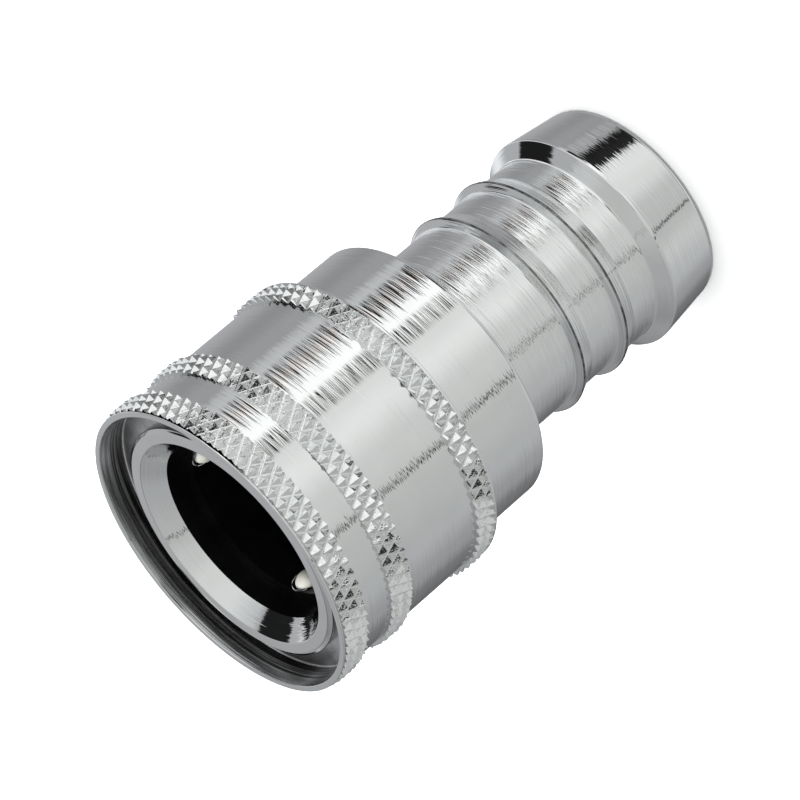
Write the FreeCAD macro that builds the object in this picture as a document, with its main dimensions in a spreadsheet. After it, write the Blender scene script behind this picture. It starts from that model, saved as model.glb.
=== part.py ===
"""Quick-release garden hose connector for a 19 mm hose, in chromed turned brass.

The connector stands on the end of its hose tail with the plug mouth up. The origin is the
centre of the tail's end face, +Z runs along the axis to the mouth and +X passes through the
first locking ball. All sizes are in millimetres.
"""
import FreeCAD, Part
import math
import os
import Sketcher

SIZES = [
    ("shank_length", 23.4, "hose tail from its end face to the back of the collar"),
    ("tail_bore_step", 0.35, "nose bore of the socket to the bore of the tail, radially"),
    ("tail_wall", 1.8, "wall of the shank between the ridges"),
    ("barb_height", 1.25, "crest of the end barb above the neck"),
    ("barb_taper_drop", 0.68, "crest of the end barb to its end face, radially"),
    ("barb_taper_length", 5.35, "end face to the crest of the end barb"),
    ("barb_crest_width", 0.25, "flat crest of the end barb"),
    ("barb_face_length", 0.95, "steep front cone of the end barb"),
    ("barb_round", 0.12, "rounds on the crest of the end barb"),
    ("tail_end_round", 0.45, "round on the rim of the tail's end face"),
    ("ridge_height", 0.72, "crest of a hose ridge above the neck, before its round"),
    ("ridge_slope_length", 1.6, "gentle rear side of a ridge"),
    ("ridge_face_length", 0.4, "steep front side of a ridge"),
    ("ridge_round", 0.14, "round on the crest of a ridge"),
    ("ridge_root_round", 0.3, "fillet at the foot of a ridge's steep side"),
    ("barb_to_ridge", 2.7, "end barb's cone to the slope of the rear ridge"),
    ("ridge_pitch", 5.25, "rear ridge to front ridge"),
    ("neck_round", 0.3, "fillet between the shank and the collar"),
    ("collar_bevel_width", 1.3, "radial width of the collar's rear bevel"),
    ("collar_bevel_length", 0.75, "axial length of the collar's rear bevel"),
    ("collar_round", 0.5, "rounds at both edges of the rear bevel"),
    ("seat_thickness", 3.1, "metal between the collar's back and the gasket seat"),
    ("gasket_thickness", 1.0, "flat gasket between the tail and the socket"),
    ("gasket_overhang", 0.35, "gasket's hole outside the tail's water passage"),
    ("gasket_clearance", 0.08, "gasket rim to the threaded hole"),
    ("thread_engagement", 4.4, "socket thread inside the tail"),
    ("thread_clearance", 0.02, "socket thread to the tail's threaded hole"),
    ("thread_relief_depth", 0.5, "run-out groove behind the socket thread"),
    ("thread_relief_width", 0.9, "run-out groove, along the axis"),
    ("thread_chamfer", 0.5, "start of the socket thread"),
    ("cup_gap", 0.4, "spring to the wall of the cup in the collar"),
    ("cup_wall", 0.73, "wall of the spring cup"),
    ("cup_chamfer", 0.25, "outer front edge of the spring cup"),
    ("socket_length", 20.24, "socket body from end to end"),
    ("flange_rim", 0.87, "flat nose face between the cone and the flange's edge"),
    ("flange_thickness", 1.54, "nose flange along the axis"),
    ("flange_round", 0.42, "outer front round of the nose flange"),
    ("lead_in", 1.77, "lead-in cone, as deep as it is wide"),
    ("entry_step", 0.76, "entry bore for the plug's shoulder, outside the guide bore"),
    ("entry_depth", 3.94, "nose face to the step below the entry bore"),
    ("guide_radius", 7.7, "guide bore that the balls stand out of"),
    ("guide_length", 4.2, "guide bore along the axis"),
    ("nose_step", 0.8, "guide bore to the nose bore, radially"),
    ("nose_lead_length", 0.8, "cone between the guide bore and the nose bore"),
    ("nose_bore_length", 6.0, "nose bore along the axis"),
    ("nose_shoulder", 0.7, "nose bore to the socket's water passage, radially"),
    ("seal_section_radius", 0.75, "round section of the plug seal"),
    ("seal_squeeze", 0.25, "how far the plug seal stands into the nose bore"),
    ("seal_depth", 2.15, "top of the nose bore to the middle of the seal"),
    ("seal_groove_width", 1.8, "seal groove along the axis"),
    ("ball_radius", 1.25, "locking ball"),
    ("ball_count", 3, "locking balls round the socket"),
    ("ball_depth", 5.39, "nose face to the ball centres"),
    ("ball_protrusion", 0.84, "how far a locked ball stands into the guide bore"),
    ("ball_clearance", 0.02, "ball to its seat, to the sleeve and to a free plug"),
    ("ball_hole_clearance", 0.05, "ball to the side of its drilled hole"),
    ("ball_lip_angle", 14, "half angle of the cone that keeps a ball in"),
    ("sleeve_length", 17.6, "release sleeve from end to end"),
    ("sleeve_wall", 0.95, "sleeve between its collar bore and its smooth outside"),
    ("sleeve_travel", 3.6, "pull that frees the plug"),
    ("stop_gap", 0.1, "land to the collar when the sleeve is pulled back"),
    ("sleeve_clearance", 0.07, "sleeve to the socket barrel and to the collar"),
    ("counterbore_wall", 0.3, "smooth outside to the counterbore round the nose"),
    ("counterbore_depth", 2.6, "lip of the sleeve to its land"),
    ("land_length", 1.95, "land of the sleeve behind the balls"),
    ("knurl_depth", 0.45, "crest to groove of the knurl"),
    ("knurl_floor", 0.05, "knurl grooves above the smooth outside"),
    ("knurl_count", 76, "diamonds round the sleeve"),
    ("knurl_row_pitch", 1.0, "one row of diamonds to the next, along the axis"),
    ("rim_width", 0.3, "plain rim at each end of the sleeve"),
    ("rim_drop", 0.13, "plain rim below the knurl's crests"),
    ("rim_chamfer", 0.12, "outer edge of each plain rim"),
    ("front_band_length", 2.75, "front knurled band with its rim"),
    ("front_row_offset", 0.32, "front band's front end to its first row"),
    ("middle_band_depth", 5.57, "lip to the middle knurled band"),
    ("middle_band_length", 2.16, "middle knurled band"),
    ("middle_row_offset", 0.38, "middle band's front end to its first row"),
    ("rear_band_length", 2.2, "rear knurled band with its rim"),
    ("rear_row_offset", 0.35, "rear band's front end to its first row"),
    ("washer_thickness", 0.5, "spring washer"),
    ("washer_gap", 0.02, "spring washer to the sleeve's land"),
    ("washer_hole_clearance", 0.4, "washer to the socket barrel"),
    ("wire_radius", 0.45, "wire of the sleeve spring"),
    ("coil_gap", 1.09, "socket barrel to the inside of the coil"),
    ("closed_coil_gap", 0.04, "touching turns at the ends of the spring"),
    ("closed_turns", 1, "closed turns at each end of the spring"),
    ("active_turns", 2, "open turns of the spring"),
]

doc = FreeCAD.newDocument("HoseConnector")
sheet = doc.addObject("Spreadsheet::Sheet", "Sizes")
for row, (alias, value, meaning) in enumerate(SIZES, start=1):
    sheet.set(f"A{row}", alias)
    sheet.set(f"B{row}", str(value))
    sheet.set(f"C{row}", meaning)
    sheet.setAlias(f"B{row}", alias)
doc.recompute()

# Heights above the tail's end face, as expressions of the sheet.
BARB_CREST = "Sizes.barb_taper_length"
BARB_FRONT = f"{BARB_CREST} + Sizes.barb_crest_width"
REAR_SLOPE = f"{BARB_FRONT} + Sizes.barb_face_length + Sizes.barb_to_ridge"
COLLAR_BACK = "Sizes.shank_length"
GASKET_SEAT = f"{COLLAR_BACK} + Sizes.seat_thickness"
SOCKET_REAR = f"{GASKET_SEAT} + Sizes.gasket_thickness"
CUP_FLOOR = f"{SOCKET_REAR} + Sizes.thread_engagement"
NOSE_FRONT = f"{SOCKET_REAR} + Sizes.socket_length"
LAND_FRONT = f"{NOSE_FRONT} - Sizes.flange_thickness"
BALL_HEIGHT = f"{NOSE_FRONT} - Sizes.ball_depth"
LAND_REAR = f"{BALL_HEIGHT} - Sizes.land_length"
CUP_FRONT = f"{LAND_REAR} - Sizes.sleeve_travel - Sizes.stop_gap"
ENTRY_STEP = f"{NOSE_FRONT} - Sizes.entry_depth"
NOSE_LEAD = f"{ENTRY_STEP} - Sizes.guide_length"
NOSE_BORE_TOP = f"{NOSE_LEAD} - Sizes.nose_lead_length"
NOSE_BORE_FLOOR = f"{NOSE_BORE_TOP} - Sizes.nose_bore_length"
SEAL_HEIGHT = f"{NOSE_BORE_TOP} - Sizes.seal_depth"
LIP_FRONT = f"{LAND_FRONT} + Sizes.counterbore_depth"
SLEEVE_REAR = f"{LIP_FRONT} - Sizes.sleeve_length"
WASHER_TOP = f"{LAND_REAR} - Sizes.washer_gap"
WASHER_FLOOR = f"{WASHER_TOP} - Sizes.washer_thickness"

# Radii of the socket's bores, from the guide bore.
GUIDE_RADIUS = "Sizes.guide_radius"
ENTRY_RADIUS = f"{GUIDE_RADIUS} + Sizes.entry_step"
MOUTH_RADIUS = f"{ENTRY_RADIUS} + Sizes.lead_in"
FLANGE_RADIUS = f"{MOUTH_RADIUS} + Sizes.flange_rim"
NOSE_BORE_RADIUS = f"{GUIDE_RADIUS} - Sizes.nose_step"
WATERWAY_RADIUS = f"{NOSE_BORE_RADIUS} - Sizes.nose_shoulder"
SEAL_RADIUS = f"{NOSE_BORE_RADIUS} - Sizes.seal_squeeze + Sizes.seal_section_radius"
SEAL_GROOVE_RADIUS = f"{SEAL_RADIUS} + Sizes.seal_section_radius"

# Radii of the hose tail, out from its bore.
TAIL_BORE_RADIUS = f"{NOSE_BORE_RADIUS} + Sizes.tail_bore_step"
NECK_RADIUS = f"{TAIL_BORE_RADIUS} + Sizes.tail_wall"
RIDGE_RADIUS = f"{NECK_RADIUS} + Sizes.ridge_height"
BARB_RADIUS = f"{NECK_RADIUS} + Sizes.barb_height"
TAIL_END_RADIUS = f"{BARB_RADIUS} - Sizes.barb_taper_drop"

# Radii from the balls outwards: land, barrel, spring, cup, collar, sleeve and knurl.
BALL_CENTRE = f"{GUIDE_RADIUS} - Sizes.ball_protrusion + Sizes.ball_radius"
BALL_TRAVEL = "(Sizes.ball_protrusion + Sizes.ball_clearance)"
RAMP_SLOPE = f"({BALL_TRAVEL} / Sizes.sleeve_travel)"
RAMP_ANGLE = f"atan({RAMP_SLOPE})"
HOLD_RADIUS = f"{BALL_CENTRE} + Sizes.ball_radius / cos({RAMP_ANGLE}) + Sizes.ball_clearance"
RAMP_LENGTH = "(Sizes.ball_depth - Sizes.flange_thickness)"
RAMP_FRONT_RADIUS = f"{HOLD_RADIUS} + {RAMP_LENGTH} * {RAMP_SLOPE}"
BARREL_RADIUS = f"{HOLD_RADIUS} - Sizes.sleeve_clearance"
THREAD_HOLE_RADIUS = f"{BARREL_RADIUS} + Sizes.thread_clearance"
COIL_RADIUS = f"{BARREL_RADIUS} + Sizes.coil_gap + Sizes.wire_radius"
COIL_OUTSIDE = f"{COIL_RADIUS} + Sizes.wire_radius"
CUP_RADIUS = f"{COIL_OUTSIDE} + Sizes.cup_gap"
COLLAR_RADIUS = f"{CUP_RADIUS} + Sizes.cup_wall"
SLEEVE_BORE_RADIUS = f"{COLLAR_RADIUS} + Sizes.sleeve_clearance"
SLEEVE_RADIUS = f"{SLEEVE_BORE_RADIUS} + Sizes.sleeve_wall"
COUNTERBORE_RADIUS = f"{SLEEVE_RADIUS} - Sizes.counterbore_wall"
GROOVE_RADIUS = f"{SLEEVE_RADIUS} + Sizes.knurl_floor"
CREST_RADIUS = f"{GROOVE_RADIUS} + Sizes.knurl_depth"
RIM_RADIUS = f"{CREST_RADIUS} - Sizes.rim_drop"

LIP_CONE_APEX = (
    f"{BALL_CENTRE} - (Sizes.ball_radius + Sizes.ball_clearance) / sin(Sizes.ball_lip_angle)"
)


def size(expression):
    """Value of an expression of the sheet."""
    return float(sheet.evalExpression(expression))


def new_body(label):
    """PartDesign body whose label names its file."""
    body = doc.addObject("PartDesign::Body", label)
    body.Label = label
    return body


def origin_feature(body, role):
    """Plane or axis of a body's own origin."""
    return next(item for item in body.Origin.OriginFeatures if item.Role == role)


def corner_round(before, corner, after, radius):
    """Start, middle and end of the arc of that radius in a corner."""
    back = (before - corner).normalize()
    ahead = (after - corner).normalize()
    half_angle = back.getAngle(ahead) / 2
    start = corner + back * (radius / math.tan(half_angle))
    end = corner + ahead * (radius / math.tan(half_angle))
    inward = (back + ahead).normalize()
    middle = corner + inward * (radius / math.sin(half_angle) - radius)
    return start, middle, end


def point_bindings(geometry, radius, height):
    """Constraints, with their expressions, that hold a geometry's first point in place."""
    bindings = []
    for kind, axis, expression in (("DistanceX", -2, radius), ("DistanceY", -1, height)):
        if expression == "0":
            on_axis = Sketcher.Constraint("PointOnObject", geometry, 1, axis)
            bindings.append((on_axis, None))
        else:
            distance = Sketcher.Constraint(kind, -1, 1, geometry, 1, size(expression))
            bindings.append((distance, expression))
    return bindings


def add_round(sketch, line_in, line_out, corner, round_points):
    """Arc in a corner, and the constraints that keep both lines aimed at the corner."""
    radius, height, round_size = corner
    start, middle, end = round_points
    turn = (middle - start).cross(end - middle).z
    if turn > 0:
        arc = sketch.addGeometry(Part.Arc(start, middle, end), False)
        first, last = 1, 2
    else:
        arc = sketch.addGeometry(Part.Arc(end, middle, start), False)
        first, last = 2, 1
    corner_point = Part.Point(FreeCAD.Vector(size(radius), size(height), 0))
    aim = sketch.addGeometry(corner_point, True)
    bindings = point_bindings(aim, radius, height)
    bindings.append((Sketcher.Constraint("PointOnObject", aim, 1, line_in), None))
    bindings.append((Sketcher.Constraint("PointOnObject", aim, 1, line_out), None))
    bindings.append((Sketcher.Constraint("Tangent", line_in, 2, arc, first), None))
    bindings.append((Sketcher.Constraint("Tangent", line_out, 1, arc, last), None))
    bindings.append((Sketcher.Constraint("Radius", arc, size(round_size)), round_size))
    return bindings


def outline_sketch(body, name, corners):
    """Closed outline on the body's XZ plane.

    Each corner is a radius and a height, and for a rounded corner the radius of its round.
    """
    sketch = body.newObject("Sketcher::SketchObject", name)
    sketch.AttachmentSupport = [(origin_feature(body, "XZ_Plane"), "")]
    sketch.MapMode = "FlatFace"
    points = [FreeCAD.Vector(size(corner[0]), size(corner[1]), 0) for corner in corners]
    count = len(corners)
    rounds = {}
    for place, corner in enumerate(corners):
        if len(corner) == 3:
            before, after = points[place - 1], points[(place + 1) % count]
            rounds[place] = corner_round(before, points[place], after, size(corner[2]))
    for place in range(count):
        following = (place + 1) % count
        start = rounds[place][2] if place in rounds else points[place]
        end = rounds[following][0] if following in rounds else points[following]
        sketch.addGeometry(Part.LineSegment(start, end), False)
    bindings = []
    for place, corner in enumerate(corners):
        line_in = (place - 1) % count
        if place in rounds:
            bindings += add_round(sketch, line_in, place, corner, rounds[place])
        else:
            meeting = Sketcher.Constraint("Coincident", line_in, 2, place, 1)
            bindings.append((meeting, None))
            bindings += point_bindings(place, corner[0], corner[1])
    sketch.addConstraint([constraint for constraint, expression in bindings])
    for index, (constraint, expression) in enumerate(bindings):
        if expression:
            sketch.setExpression(f"Constraints[{index}]", expression)
    return sketch


def turned(body, name, corners):
    """Revolution of an outline about the connector's axis."""
    sketch = outline_sketch(body, name + "Outline", corners)
    turning = body.newObject("PartDesign::Revolution", name)
    turning.Profile = sketch
    turning.ReferenceAxis = (sketch, ["V_Axis"])
    turning.Angle = 360
    sketch.Visibility = False
    doc.recompute()
    return turning


def hose_ridge(slope_foot):
    """Corners of one ridge, from the foot of its gentle side to the foot of its steep side."""
    crest = f"{slope_foot} + Sizes.ridge_slope_length"
    return [
        (NECK_RADIUS, slope_foot),
        (RIDGE_RADIUS, crest, "Sizes.ridge_round"),
        (NECK_RADIUS, f"{crest} + Sizes.ridge_face_length", "Sizes.ridge_root_round"),
    ]


def hose_tail():
    """Collar with the spring cup, and the barbed shank that the hose is pushed onto."""
    bevel_radius = f"{COLLAR_RADIUS} - Sizes.collar_bevel_width"
    bevel_top = f"{COLLAR_BACK} + Sizes.collar_bevel_length"
    corners = [
        (TAIL_BORE_RADIUS, "0"),
        (TAIL_END_RADIUS, "0", "Sizes.tail_end_round"),
        (BARB_RADIUS, BARB_CREST, "Sizes.barb_round"),
        (BARB_RADIUS, BARB_FRONT, "Sizes.barb_round"),
        (NECK_RADIUS, f"{BARB_FRONT} + Sizes.barb_face_length", "Sizes.ridge_root_round"),
    ]
    corners += hose_ridge(REAR_SLOPE)
    corners += hose_ridge(f"{REAR_SLOPE} + Sizes.ridge_pitch")
    corners += [
        (NECK_RADIUS, COLLAR_BACK, "Sizes.neck_round"),
        (bevel_radius, COLLAR_BACK, "Sizes.collar_round"),
        (COLLAR_RADIUS, bevel_top, "Sizes.collar_round"),
        (COLLAR_RADIUS, f"{CUP_FRONT} - Sizes.cup_chamfer"),
        (f"{COLLAR_RADIUS} - Sizes.cup_chamfer", CUP_FRONT),
        (CUP_RADIUS, CUP_FRONT),
        (CUP_RADIUS, CUP_FLOOR),
        (THREAD_HOLE_RADIUS, CUP_FLOOR),
        (THREAD_HOLE_RADIUS, GASKET_SEAT),
        (TAIL_BORE_RADIUS, GASKET_SEAT),
    ]
    body = new_body("hose_tail")
    turned(body, "TailTurning", corners)
    return body


def socket_body():
    """Barrel with the nose flange, the plug's bores, the seal groove and the ball holes."""
    groove_top = f"{SEAL_HEIGHT} + Sizes.seal_groove_width / 2"
    groove_floor = f"{SEAL_HEIGHT} - Sizes.seal_groove_width / 2"
    relief_radius = f"{BARREL_RADIUS} - Sizes.thread_relief_depth"
    corners = [
        (MOUTH_RADIUS, NOSE_FRONT),
        (FLANGE_RADIUS, NOSE_FRONT, "Sizes.flange_round"),
        (FLANGE_RADIUS, LAND_FRONT),
        (BARREL_RADIUS, LAND_FRONT),
        (BARREL_RADIUS, f"{CUP_FLOOR} + Sizes.thread_relief_width"),
        (relief_radius, f"{CUP_FLOOR} + Sizes.thread_relief_width"),
        (relief_radius, CUP_FLOOR),
        (BARREL_RADIUS, CUP_FLOOR),
        (BARREL_RADIUS, f"{SOCKET_REAR} + Sizes.thread_chamfer"),
        (f"{BARREL_RADIUS} - Sizes.thread_chamfer", SOCKET_REAR),
        (WATERWAY_RADIUS, SOCKET_REAR),
        (WATERWAY_RADIUS, NOSE_BORE_FLOOR),
        (NOSE_BORE_RADIUS, NOSE_BORE_FLOOR),
        (NOSE_BORE_RADIUS, groove_floor),
        (SEAL_GROOVE_RADIUS, groove_floor),
        (SEAL_GROOVE_RADIUS, groove_top),
        (NOSE_BORE_RADIUS, groove_top),
        (NOSE_BORE_RADIUS, NOSE_BORE_TOP),
        (GUIDE_RADIUS, NOSE_LEAD),
        (GUIDE_RADIUS, ENTRY_STEP),
        (ENTRY_RADIUS, ENTRY_STEP),
        (ENTRY_RADIUS, f"{NOSE_FRONT} - Sizes.lead_in"),
    ]
    body = new_body("socket_body")
    turning = turned(body, "SocketTurning", corners)
    solid_volume = turning.Shape.Volume
    ball_holes(body)
    if body.Shape.Volume >= solid_volume:
        raise RuntimeError("the ball holes cut nothing")
    return body


def ball_holes(body):
    """Radial holes for the balls, each narrowed by a cone that keeps its ball in."""
    hole_radius = "Sizes.ball_radius + Sizes.ball_hole_clearance"
    inner_end = f"{GUIDE_RADIUS} - Sizes.ball_protrusion"
    inner_radius = f"({inner_end} - ({LIP_CONE_APEX})) * tan(Sizes.ball_lip_angle)"
    cone_end = f"{LIP_CONE_APEX} + ({hole_radius}) / tan(Sizes.ball_lip_angle)"
    outer_end = f"{BARREL_RADIUS} + Sizes.ball_protrusion"
    corners = [
        (inner_end, "0"),
        (inner_end, inner_radius),
        (cone_end, hole_radius),
        (outer_end, hole_radius),
        (outer_end, "0"),
    ]
    sketch = outline_sketch(body, "BallHoleOutline", corners)
    sketch.setExpression(".AttachmentOffset.Base.y", BALL_HEIGHT)
    doc.recompute()
    hole = body.newObject("PartDesign::Groove", "BallHole")
    hole.Profile = sketch
    hole.ReferenceAxis = (sketch, ["H_Axis"])
    hole.Angle = 360
    doc.recompute()
    holes = body.newObject("PartDesign::PolarPattern", "BallHoles")
    holes.Originals = [hole]
    holes.Axis = (origin_feature(body, "Z_Axis"), [""])
    holes.Angle = 360
    holes.setExpression("Occurrences", "Sizes.ball_count")
    body.Tip = holes
    sketch.Visibility = False
    doc.recompute()


def clip_height(polygon, height, keep):
    """Part of a flat polygon on one side of a height: keep is 1 for above and -1 for below."""
    kept = []
    for here, there in zip(polygon, polygon[1:] + polygon[:1]):
        here_side = keep * (here.z - height)
        there_side = keep * (there.z - height)
        if here_side >= 0:
            kept.append(here)
        if here_side * there_side < 0:
            kept.append(here + (there - here) * (here_side / (here_side - there_side)))
    return kept


def knurl_point(column, row, first_row):
    """Point of the knurl: a crest where column and row are both odd or both even."""
    crest = (column + row) % 2 == 0
    radius = size(CREST_RADIUS if crest else GROOVE_RADIUS)
    angle = math.pi * column / size("Sizes.knurl_count")
    height = first_row - row * size("Sizes.knurl_row_pitch")
    return FreeCAD.Vector(radius * math.cos(angle), radius * math.sin(angle), height)


def knurl_facets(floor, top, first_row):
    """Flat facets of one knurled band: four to each diamond, cut off at its two ends."""
    columns = 2 * int(size("Sizes.knurl_count"))
    row_pitch = size("Sizes.knurl_row_pitch")
    first = math.floor((first_row - top) / row_pitch)
    last = math.ceil((first_row - floor) / row_pitch)
    points = {}
    for row in range(first, last + 1):
        for column in range(columns):
            points[column, row] = knurl_point(column, row, first_row)
    facets = []
    for row in range(first, last):
        for column in range(columns):
            beside = (column + 1) % columns
            upper, upper_next = points[column, row], points[beside, row]
            lower, lower_next = points[column, row + 1], points[beside, row + 1]
            if (column + row) % 2 == 0:
                halves = ([upper, lower, upper_next], [lower_next, upper_next, lower])
            else:
                halves = ([upper_next, upper, lower_next], [lower, lower_next, upper])
            for half in halves:
                facet = clip_height(clip_height(half, floor, 1), top, -1)
                if len(facet) > 2:
                    facets.append(facet)
    return facets


def end_outline(facets, height):
    """Closed outline of a band's facets at one of its two ends, in order round the axis."""
    corners = {}
    for facet in facets:
        for point in facet:
            if abs(point.z - height) < 1e-7:
                corners[round(math.atan2(point.y, point.x), 6)] = point
    ordered = [corners[angle] for angle in sorted(corners)]
    return Part.makePolygon(ordered + ordered[:1])


def knurled_band(name, floor, top, first_row):
    """Ring of diamond knurl that fits round the sleeve's smooth outside."""
    floor, top, first_row = size(floor), size(top), size(first_row)
    facets = knurl_facets(floor, top, first_row)
    faces = [Part.Face(Part.makePolygon(facet + facet[:1])) for facet in facets]
    for height, side in ((floor, -1), (top, 1)):
        end = Part.Face(end_outline(facets, height))
        faces.append(end if end.normalAt(0, 0).z * side > 0 else end.reversed())
    shell = Part.makeShell(faces)
    shell.sewShape()
    disc = Part.makeSolid(shell)
    hole = Part.makeCylinder(size(SLEEVE_RADIUS), top - floor, FreeCAD.Vector(0, 0, floor))
    solid = disc.cut(hole)
    band = doc.addObject("Part::Feature", name)
    band.Shape = solid
    return band


def sleeve_turning():
    """Turned blank of the sleeve: counterbore, ramp and land over the balls, collar bore."""
    rim_front_end = f"{LIP_FRONT} - Sizes.rim_width"
    rim_rear_end = f"{SLEEVE_REAR} + Sizes.rim_width"
    chamfered = f"{RIM_RADIUS} - Sizes.rim_chamfer"
    corners = [
        (COUNTERBORE_RADIUS, LIP_FRONT),
        (chamfered, LIP_FRONT),
        (RIM_RADIUS, f"{LIP_FRONT} - Sizes.rim_chamfer"),
        (RIM_RADIUS, rim_front_end),
        (SLEEVE_RADIUS, rim_front_end),
        (SLEEVE_RADIUS, rim_rear_end),
        (RIM_RADIUS, rim_rear_end),
        (RIM_RADIUS, f"{SLEEVE_REAR} + Sizes.rim_chamfer"),
        (chamfered, SLEEVE_REAR),
        (SLEEVE_BORE_RADIUS, SLEEVE_REAR),
        (SLEEVE_BORE_RADIUS, LAND_REAR),
        (HOLD_RADIUS, LAND_REAR),
        (HOLD_RADIUS, BALL_HEIGHT),
        (RAMP_FRONT_RADIUS, LAND_FRONT),
        (COUNTERBORE_RADIUS, LAND_FRONT),
    ]
    body = new_body("SleeveBlank")
    turned(body, "SleeveTurning", corners)
    return body


def release_sleeve():
    """Sleeve in one piece with its three knurled bands."""
    front_end = f"{LIP_FRONT} - Sizes.front_band_length"
    middle_start = f"{LIP_FRONT} - Sizes.middle_band_depth"
    middle_end = f"{middle_start} - Sizes.middle_band_length"
    rear_start = f"{SLEEVE_REAR} + Sizes.rear_band_length"
    rim_front_end = f"{LIP_FRONT} - Sizes.rim_width"
    rim_rear_end = f"{SLEEVE_REAR} + Sizes.rim_width"
    bands = [
        ("FrontBand", front_end, rim_front_end, "Sizes.front_row_offset"),
        ("MiddleBand", middle_end, middle_start, "Sizes.middle_row_offset"),
        ("RearBand", rim_rear_end, rear_start, "Sizes.rear_row_offset"),
    ]
    pieces = [sleeve_turning()]
    for name, floor, top, offset in bands:
        pieces.append(knurled_band(name, floor, top, f"{top} - {offset}"))
    sleeve = doc.addObject("Part::MultiFuse", "release_sleeve")
    sleeve.Label = "release_sleeve"
    sleeve.Shapes = pieces
    doc.recompute()
    return sleeve


def ring(label, inner, outer, floor, top):
    """Plain flat ring."""
    body = new_body(label)
    turned(body, label + "_turning", [(inner, floor), (outer, floor), (outer, top), (inner, top)])
    return body


def spring_washer():
    """Steel washer between the spring and the sleeve's land."""
    inner = f"{BARREL_RADIUS} + Sizes.washer_hole_clearance"
    return ring("spring_washer", inner, COIL_OUTSIDE, WASHER_FLOOR, WASHER_TOP)


def body_gasket():
    """Flat gasket that seals the socket against the hose tail."""
    inner = f"{TAIL_BORE_RADIUS} + Sizes.gasket_overhang"
    outer = f"{THREAD_HOLE_RADIUS} - Sizes.gasket_clearance"
    return ring("body_gasket", inner, outer, GASKET_SEAT, SOCKET_REAR)


def plug_seal():
    """Rubber ring that seals on the plug's nose."""
    seal = doc.addObject("Part::Torus", "plug_seal")
    seal.Label = "plug_seal"
    seal.setExpression("Radius1", SEAL_RADIUS)
    seal.setExpression("Radius2", "Sizes.seal_section_radius")
    seal.setExpression("Placement.Base.z", SEAL_HEIGHT)
    return seal


def locking_balls():
    """Steel balls, spread evenly round the socket from +X."""
    balls = []
    count = int(size("Sizes.ball_count"))
    for number in range(1, count + 1):
        ball = doc.addObject("Part::Sphere", f"locking_ball_{number}")
        ball.Label = f"locking_ball_{number}"
        turn = f"({number - 1} * 360 / Sizes.ball_count)"
        ball.setExpression("Radius", "Sizes.ball_radius")
        ball.setExpression("Placement.Base.x", f"({BALL_CENTRE}) * cos({turn})")
        ball.setExpression("Placement.Base.y", f"({BALL_CENTRE}) * sin({turn})")
        ball.setExpression("Placement.Base.z", BALL_HEIGHT)
        balls.append(ball)
    return balls


def half_turn(start_angle, start_height, rise):
    """Half a turn of round wire: half a ring that is tilted to climb by its rise."""
    coil_radius = size(COIL_RADIUS)
    ring_radius = math.hypot(coil_radius, rise / 2)
    tilt = math.degrees(math.atan2(rise / 2, coil_radius))
    up = FreeCAD.Vector(0, 0, 1)
    half = Part.makeTorus(ring_radius, size("Sizes.wire_radius"), FreeCAD.Vector(), up, -180, 180, 180)
    half.rotate(FreeCAD.Vector(), FreeCAD.Vector(0, 1, 0), tilt)
    half.rotate(FreeCAD.Vector(), up, start_angle)
    half.translate(FreeCAD.Vector(0, 0, start_height + rise / 2))
    return half


def sleeve_spring():
    """Compression spring with closed and ground ends, from the cup floor to the washer."""
    floor = size(CUP_FLOOR)
    length = size(f"{WASHER_FLOOR} - ({CUP_FLOOR})")
    closed_halves = 2 * int(size("Sizes.closed_turns"))
    active_halves = 2 * int(size("Sizes.active_turns"))
    closed_rise = size("Sizes.wire_radius + Sizes.closed_coil_gap / 2")
    active_rise = (length - 2 * closed_halves * closed_rise) / active_halves
    rises = [closed_rise] * closed_halves
    rises += [active_rise] * active_halves
    rises += [closed_rise] * closed_halves
    halves = []
    height = floor
    for number, rise in enumerate(rises):
        halves.append(half_turn(180 * number, height, rise))
        height += rise
    coil = halves[0].fuse(halves[1:])
    grinding = Part.makeCylinder(size(CUP_RADIUS), length, FreeCAD.Vector(0, 0, floor))
    spring = doc.addObject("Part::Feature", "sleeve_spring")
    spring.Label = "sleeve_spring"
    spring.Shape = coil.common(grinding)
    return spring


def write_parts(pieces):
    """Check every object and shape, then write one STEP file for each piece."""
    doc.recompute()
    for item in doc.Objects:
        if "Invalid" in item.State or "Error" in item.State:
            raise RuntimeError(f"{item.Label} failed: {item.State}")
    for piece in pieces:
        if piece.Shape.isNull() or not piece.Shape.isValid():
            raise RuntimeError(f"{piece.Label} has no valid shape")
    os.makedirs("parts", exist_ok=True)
    for piece in pieces:
        piece.Shape.exportStep(os.path.join("parts", piece.Label + ".step"))
        volume = piece.Shape.Volume
        solids = len(piece.Shape.Solids)
        print(f"{piece.Label}: {solids} solid, {volume:.1f} mm3, {len(piece.Shape.Faces)} faces")


pieces = [hose_tail(), socket_body(), release_sleeve(), spring_washer(), sleeve_spring()]
pieces += [body_gasket(), plug_seal()]
pieces += locking_balls()
write_parts(pieces)
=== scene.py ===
"""Looks of the garden hose quick connector: chromed turned brass on a plain pale floor."""
import math
import random

import bpy
from mathutils import Matrix, Vector


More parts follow.
